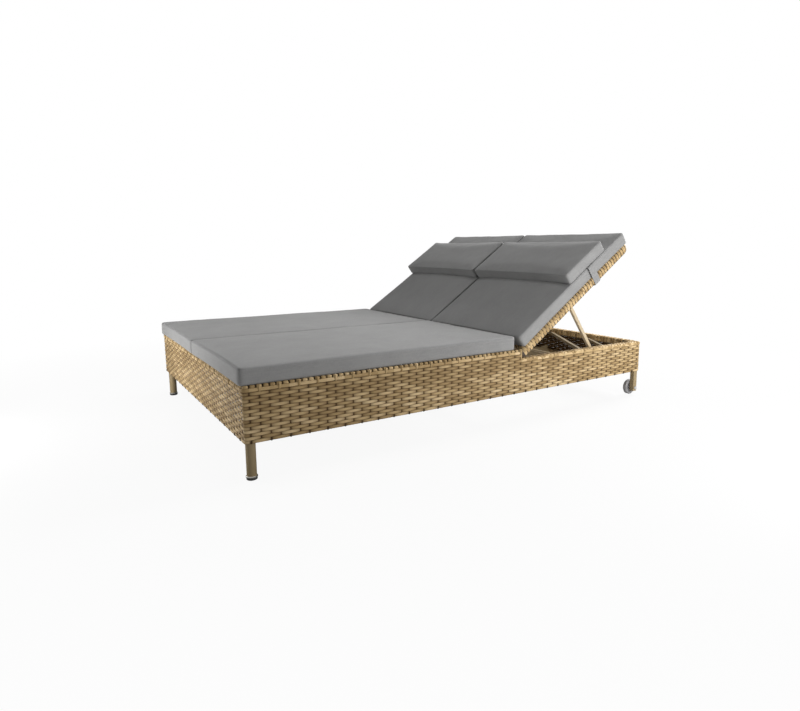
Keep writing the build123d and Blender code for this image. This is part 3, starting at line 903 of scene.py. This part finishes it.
def rounded_square_path(half, corner, steps=3):
    points = []
    for quarter in range(4):
        side_x = 1 if quarter in (0, 3) else -1
        side_y = 1 if quarter in (0, 1) else -1
        for step in range(steps + 1):
            turn = pi / 2 * (quarter + step / steps)
            x = side_x * (half - corner) + corner * cos(turn)
            y = side_y * (half - corner) + corner * sin(turn)
            points.append((x, y))
    return points


def mirror_if_left(mesh, side):
    if side == "left":
        mesh.transform(Matrix.Scale(-1, 4, (1, 0, 0)))
        mesh.flip_normals()


def back_piece(name, side, bm, cell, seed, place, made=wrap_strand):
    piece = new_piece(name + "_" + side, bm, made, "back_" + side)
    paint_runs(piece.data, step_cell(cell), seed)
    bend_mesh(piece.data, place)
    mirror_if_left(piece.data, side)
    piece.data.transform(raise_back)
    return piece


def back_rail_wraps(side):
    """Bands round the bent rail and the foot rail, then the deck's loops over the rail's edge."""
    path = rounded_square_path(rail_half - band_sink, band_corner)
    seed = 6 if side == "right" else 7
    places = spread(-band_past_end, rail_run + band_past_end, band_pitch)
    bands = wraps_at(path, band_width, band_thickness, places, 8, closed=True)
    back_piece("back_rail_bands", side, bands, band_pitch, seed, place_on_rail)
    low, high = back_box("back_rail_bottom_right")
    foot_middle = (low.y + high.y) / 2
    places = spread(low.x, high.x, band_pitch)
    bands = wraps_at(path, band_width, band_thickness, places, 6, closed=True)
    back_piece(
        "back_foot_rail_bands", side, bands, band_pitch, 8,
        lambda flat: Vector((flat.x, flat.y + foot_middle, flat.z)),
    )
    outer_run = rail_straight + 2 * bend_run + top_run
    for name, out, low, high in (
        ("back_deck_loops", rail_half + loop_out, 0.0, outer_run),
        ("back_inner_loops", rail_half - band_sink, outer_run, rail_run),
    ):
        path = [
            (-rail_half - 0.004, rail_half - 0.004), (-rail_half + 0.006, rail_half + 0.0006),
            (0.0, rail_half + 0.0016), (rail_half - 0.008, rail_half + 0.0016),
            (out - 0.0042, rail_half - 0.0024), (out, rail_half - 0.0085),
            (out, 0.0050), (out - 0.0026, 0.0006),
        ]
        loops = wraps_at(path, loop_width, loop_thickness, spread(low, high, band_pitch), 8)
        back_piece(name, side, loops, band_pitch, seed + 2, place_on_rail)


def build_backs():
    deck_low, deck_high = back_box("back_deck_right")
    for side in ("right", "left"):
        back_rail_wraps(side)
        flat_deck(
            "back_deck_" + side, "back_deck_" + side, "back_" + side, raise_back, deck_low, deck_high,
            lambda mesh: mirror_if_left(mesh, side), deck_wave, 6,
        )
        for node, made in (
            ("back_rail_outer_", rail_core_painted_shade), ("back_rail_inner_", rail_core_painted_shade), ("back_rail_top_", rail_core_painted_shade),
            ("back_rail_bottom_", rail_core_painted_shade), ("back_crossbars_", frame_coat), ("prop_pins_", pin_steel),
            ("prop_legs_", prop_coat), ("prop_foot_", prop_coat),
        ):
            give_material(node + side, made)


# Cushions

def round_corner(place, half, radius):
    """Rounds the corners of a rectangle's grid without folding it."""
    a = (abs(place.x) - (half[0] - radius)) / radius
    b = (abs(place.y) - (half[1] - radius)) / radius
    if a <= 0 or b <= 0:
        return place.x, place.y
    x = half[0] - radius + radius * a * sqrt(max(1 - b * b / 2, 0))
    y = half[1] - radius + radius * b * sqrt(max(1 - a * a / 2, 0))
    return x if place.x > 0 else -x, y if place.y > 0 else -y


def pad_mesh(width, length, thickness, radius, edge, crown, draw_in):
    """A boxed cushion with rounded edges, a crown and sides that pull in between its corners."""
    bm = bmesh.new()
    columns, rows = round(width / cushion_cell), round(length / cushion_cell)
    bmesh.ops.create_grid(bm, x_segments=columns, y_segments=rows, size=0.5)
    bmesh.ops.scale(bm, vec=(width, length, 1), verts=bm.verts)
    half = (width / 2, length / 2)
    for vert in bm.verts:
        vert.co.x, vert.co.y = round_corner(vert.co, half, radius)
    made = bmesh.ops.extrude_face_region(bm, geom=bm.faces[:])["geom"]
    bmesh.ops.translate(bm, vec=(0, 0, thickness), verts=only_verts(made))
    bmesh.ops.recalc_face_normals(bm, faces=bm.faces)
    upright = [edge for edge in bm.edges if abs(edge.verts[0].co.z - edge.verts[1].co.z) > thickness / 2]
    bmesh.ops.subdivide_edges(bm, edges=upright, cuts=4, use_grid_fill=True)
    rims = [
        edge for edge in bm.edges
        if len(edge.link_faces) == 2 and abs(edge.link_faces[0].normal.dot(edge.link_faces[1].normal)) < 0.3
        and abs(edge.verts[0].co.z - edge.verts[1].co.z) < 0.0001
    ]
    bmesh.ops.bevel(
        bm, geom=rims, offset=edge, offset_type="OFFSET", segments=3, profile=0.5, affect="EDGES",
        material=-1,
    )
    for vert in bm.verts:
        u = min(abs(vert.co.x) / half[0], 1.0)
        v = min(abs(vert.co.y) / half[1], 1.0)
        vert.co.z += crown * (1 - u ** 4) * (1 - v ** 4) * max(vert.co.z / thickness - 0.5, 0) * 2
        vert.co.x *= 1 - draw_in / half[0] * (1 - v * v) * u
        vert.co.y *= 1 - draw_in / half[1] * (1 - u * u) * v
    return bm


def swell(piece):
    """Lets the cover fill out under pressure, and caps how far it moves."""
    scene = bpy.context.scene
    rest = [vert.co.copy() for vert in piece.data.vertices]
    cover = piece.modifiers.new("cover", "CLOTH")
    for setting, value in cover_settings:
        setattr(cover.settings, setting, value)
    cover.settings.effector_weights.gravity = 0
    cover.point_cache.frame_start = 1
    cover.point_cache.frame_end = cover_frames
    for number in range(1, cover_frames + 1):
        scene.frame_set(number)
    evaluated = piece.evaluated_get(bpy.context.evaluated_depsgraph_get())
    swollen = [vert.co.copy() for vert in evaluated.data.vertices]
    piece.modifiers.remove(cover)
    scene.frame_set(1)
    for vert, start, end in zip(piece.data.vertices, rest, swollen):
        move = end - start
        if move.length > cushion_cap:
            move *= cushion_cap / move.length
        vert.co = start + move
        vert.co.z = max(vert.co.z, 0.0)


def wrinkle(mesh, thickness, seed):
    """Soft wrinkles in the cover."""
    normals = [vert.normal.copy() for vert in mesh.vertices]
    for vert, normal in zip(mesh.vertices, normals):
        if vert.co.z < thickness * 0.1:
            continue
        here = Vector((vert.co.x * 9, vert.co.y * 4, seed))
        fine = Vector((vert.co.x * 30, vert.co.y * 22, seed + 5))
        vert.co += normal * wrinkle_height * (noise.noise(here) + 0.35 * noise.noise(fine))


def mark_canvas(mesh, thickness):
    """The run map, laid over each face from its own side, and the seams' mask."""
    run = mesh.uv_layers.new(name="run")
    seam = mesh.attributes.new("seam", "FLOAT", "POINT")
    for vert in mesh.vertices:
        away = min(abs(vert.co.z - height) for height in (seam_place, thickness - seam_place))
        upright = min(2 - 2 * abs(vert.normal.z), 1)
        seam.data[vert.index].value = seam_shade * max(1 - away / seam_width, 0) * upright
    for face in mesh.polygons:
        normal = face.normal
        for corner in face.loop_indices:
            place = mesh.vertices[mesh.loops[corner].vertex_index].co
            if abs(normal.z) > 0.6:
                run.data[corner].uv = (place.x, place.y)
            elif abs(normal.x) > abs(normal.y):
                run.data[corner].uv = (place.z + 3.0, place.y)
            else:
                run.data[corner].uv = (place.z + 5.0, place.x)


def fit_outline(mesh, size):
    """Brings the cover back to the cushion's width and length."""
    for axis in (0, 1):
        low = min(vert.co[axis] for vert in mesh.vertices)
        high = max(vert.co[axis] for vert in mesh.vertices)
        for vert in mesh.vertices:
            vert.co[axis] = (vert.co[axis] - (low + high) / 2) * size[axis] / (high - low)


def press_edges_down(mesh, size, thickness, depth):
    """Lets the underside's rim hang, so that the pad lies close on the crowned cushion below it."""
    for vert in mesh.vertices:
        u = min(abs(vert.co.x) / size.x * 2, 1.0)
        v = min(abs(vert.co.y) / size.y * 2, 1.0)
        vert.co.z -= depth * max(u ** 4, v ** 4) * clamped(1 - vert.co.z / thickness)


def shaped_pad(name, size, thickness, radius, edge, crown, draw_in, hang, seed):
    bm = pad_mesh(size.x, size.y, thickness, radius, edge, crown, draw_in)
    mesh = mesh_from(name, bm)
    holder = put_in_scene(name, mesh)
    swell(holder)
    wrinkle(mesh, thickness, seed)
    fit_outline(mesh, size)
    mark_canvas(mesh, thickness)
    press_edges_down(mesh, size, thickness, hang)
    bpy.data.objects.remove(holder)
    return mesh


def add_cushion(name, node, mesh, place, body):
    piece = put_in_scene(name, mesh.copy())
    piece.data.transform(place)
    piece.data.materials.append(cushion_canvas)
    piece.data.shade_smooth()
    piece.modifiers.new("smooth", "SUBSURF").levels = 1
    piece.modifiers["smooth"].render_levels = 1
    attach(piece, body)
    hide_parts(node)


def build_cushions():
    """The pads of both sides, each kind from one shape. A row gives the kind's name, body and slot,
    how much fuller it is than its solid, its corners' radius, its rounded edge, how far its sides
    draw in, how far its rim hangs, and its seed."""
    for name, body, slot, fuller, radius, edge, draw_in, hang, seed in (
        ("seat_cushion", "base", "cushion_fabric", 0.0, 0.016, 0.009, 0.003, 0.0, 1),
        ("back_cushion", "back_", "cushion_fabric", 0.002, 0.012, 0.006, 0.003, 0.0, 2),
        ("pillow", "pillow_", "pillow_fabric", 0.006, 0.008, 0.005, 0.002, 0.003, 3),
    ):
        on_seat = body == "base"
        low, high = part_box(name + "_right") if on_seat else back_box(name + "_right")
        place = Matrix.Identity(4) if on_seat else raise_back
        size = high - low
        thickness = size.z + fuller - cushion_crown - cushion_slack
        mesh = shaped_pad(name, size, thickness, radius, edge, cushion_crown, draw_in, hang, seed)
        middle = (low + high) / 2
        for side, way in (("right", 1), ("left", -1)):
            spot = place @ Matrix.Translation((way * middle.x, middle.y, low.z))
            rides = body if on_seat else body + side
            add_cushion(f"{name}_{side}_pad", f"{name}_{side}", mesh, spot, rides)
        bpy.data.meshes.remove(mesh)


def strap_path(low, high):
    """The band's way round the back: under the rails, up both sides and in under the pillow."""
    left = low.x + strap_thickness / 2 - 0.0003
    right = high.x + strap_thickness / 2 + 0.0020
    bottom = low.z + strap_thickness / 2 - 0.0006
    top = high.z - strap_thickness / 2
    r = strap_bend
    return [
        (left + strap_lap, top), (left + r, top), (left + r * 0.3, top - r * 0.3), (left, top - r),
        (left, bottom + r), (left + r * 0.3, bottom + r * 0.3), (left + r, bottom),
        (0.5 * (left + right), bottom),
        (right - r, bottom), (right - r * 0.3, bottom + r * 0.3), (right, bottom + r),
        (right, top - r), (right - r * 0.3, top - r * 0.3), (right - r, top), (right - strap_lap, top),
    ]


def build_straps():
    low, high = back_box("pillow_strap_right")
    width = (high.y - low.y) * strap_widening
    for side in ("right", "left"):
        points = strap_path(low, high)
        bm = flat_ribbon(points, [width] * len(points), strap_thickness, 4)
        for vert in bm.verts:
            vert.co = Vector((vert.co.y, vert.co.x + (low.y + high.y) / 2, vert.co.z))
        bmesh.ops.recalc_face_normals(bm, faces=bm.faces)
        name, body = "pillow_band_" + side, "pillow_" + side
        piece = new_piece(name, bm, strap_canvas, body, smooth=False)
        run = piece.data.uv_layers.new(name="run")
        piece.data.attributes.new("seam", "FLOAT", "POINT")
        for loop in piece.data.loops:
            place = piece.data.vertices[loop.vertex_index].co
            run.data[loop.index].uv = (place.y, place.x + place.z)
        mirror_if_left(piece.data, side)
        piece.data.transform(raise_back)
        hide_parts("pillow_strap_" + side)


# Rigid nodes that keep their CAD shape

def dress_frame():
    for side in ("_right", "_left"):
        for node in ("seat_rail", "head_rail", "base_rail", "rack_bars"):
            give_material(node + side, frame_coat)
        for node in ("front_leg", "rear_leg"):
            give_material(node + side, leg_coat)
        give_material("wheel" + side, wheel_plastic)
    for node in (
        "seat_rail_foot", "seat_rail_rear", "seat_crossbars", "head_rail_end", "base_cross_rails",
        "step_posts", "rack_rails", "corner_braces", "hinge_lugs",
    ):
        give_material(node, frame_coat)
    for node, made in (
        ("hinge_pins", pin_steel), ("wheel_axles", pin_steel), ("foot_glides", glide_steel),
        ("foot_pads", pad_rubber),
    ):
        give_material(node, made)


# Floor, light and camera

def build_floor():
    bm = bmesh.new()
    bmesh.ops.create_grid(bm, x_segments=1, y_segments=1, size=30.0)
    mesh = mesh_from("floor", bm)
    floor_piece = put_in_scene("floor", mesh)
    made, tree, shader = new_material("pale floor", 0.9, specular=0.0)
    shader.inputs["Base Color"].default_value = (0.6, 0.6, 0.6, 1)
    glow = add_node(tree, "ShaderNodeEmission", values={"Color": (1, 1, 1, 1), "Strength": 1.0})
    place = add_node(tree, "ShaderNodeTexCoord")
    reach = add_node(tree, "ShaderNodeVectorMath", {"operation": "LENGTH"})
    fading = {"From Min": 1.2, "From Max": 3.0, "To Min": 0.93, "To Max": 1.0}
    fade = add_node(tree, "ShaderNodeMapRange", values=fading)
    path = add_node(tree, "ShaderNodeLightPath")
    seen = add_node(tree, "ShaderNodeMath", {"operation": "MULTIPLY"})
    mix = add_node(tree, "ShaderNodeMixShader")
    join(tree, place, "Object", reach, 0)
    join(tree, reach, "Value", fade, "Value")
    join(tree, fade, "Result", seen, 0)
    join(tree, path, "Is Camera Ray", seen, 1)
    join(tree, seen, "Value", mix, "Fac")
    join(tree, shader, "BSDF", mix, 1)
    join(tree, glow, "Emission", mix, 2)
    tree.links.new(mix.outputs["Shader"], tree.nodes["Material Output"].inputs["Surface"])
    mesh.materials.append(made)


def build_world():
    world = bpy.data.worlds.new("pale studio")
    world.use_nodes = True
    tree = world.node_tree
    plain = tree.nodes["Background"]
    plain.inputs["Color"].default_value = (1.0, 1.0, 1.0, 1)
    plain.inputs["Strength"].default_value = 0.11
    seen = add_node(tree, "ShaderNodeBackground", values={"Color": (1, 1, 1, 1), "Strength": 1.0})
    path = add_node(tree, "ShaderNodeLightPath")
    direct = add_node(tree, "ShaderNodeMath", {"operation": "MAXIMUM"})
    mix = add_node(tree, "ShaderNodeMixShader")
    join(tree, path, "Is Camera Ray", direct, 0)
    join(tree, path, "Is Glossy Ray", direct, 1)
    join(tree, direct, "Value", mix, "Fac")
    join(tree, plain, "Background", mix, 1)
    join(tree, seen, "Background", mix, 2)
    tree.links.new(mix.outputs["Shader"], tree.nodes["World Output"].inputs["Surface"])
    bpy.context.scene.world = world


def add_lamp(name, place, target, size, power):
    lamp = bpy.data.lights.new(name, "AREA")
    lamp.shape = "SQUARE"
    lamp.size = size
    lamp.energy = power
    holder = put_in_scene(name, lamp)
    holder.location = place
    holder.rotation_euler = (Vector(target) - Vector(place)).to_track_quat("-Z", "Y").to_euler()


def build_lights():
    add_lamp("top lamp", (0.2, 3.6, 2.9), (0, 0.0, 0.3), 1.6, 215)
    add_lamp("right lamp", (2.2, 0.8, 0.6), (0.7, 1.0, 0.45), 1.2, 27)
    add_lamp("foot lamp", (-0.28, -1.9, 0.28), (-0.2, -1.0, 0.3), 0.8, 13.5)
    add_lamp("high lamp", (0.0, -0.6, 3.6), (0, -0.3, 0.3), 1.6, 23)
    add_lamp("corner lamp", (2.3, -2.3, 1.0), (0.7, -1.0, 0.25), 0.6, 3.5)


# The camera, fitted to the photograph's straight edges. Pixels are of the 800 x 711 picture.
image_width, image_height = 800, 711
focal_pixels = 581.6
centre_pixel = (446.8, 333.5)
camera_place = (2.545, -1.49975, 0.758)
camera_right = Vector((0.5719, 0.8203, 0.0))
camera_up = Vector((-0.1207, 0.0841, 0.9891))


def build_camera():
    lens = bpy.data.cameras.new("photograph")
    lens.sensor_width = 36.0
    lens.lens = focal_pixels * lens.sensor_width / image_width
    lens.shift_x = (image_width / 2 - centre_pixel[0]) / image_width
    lens.shift_y = (centre_pixel[1] - image_height / 2) / image_width
    lens.clip_end = 100.0
    camera = put_in_scene("photograph", lens)
    right = camera_right.normalized()
    back = right.cross(camera_up).normalized()
    up = back.cross(right)
    turn = Matrix((right, up, back)).transposed().to_4x4()
    camera.matrix_world = Matrix.Translation(camera_place) @ turn
    bpy.context.scene.camera = camera


bpy.context.scene.view_settings.view_transform = "Standard"
build_skirts()
build_backs()
build_cushions()
build_straps()
dress_frame()
build_floor()
build_world()
build_lights()
build_camera()
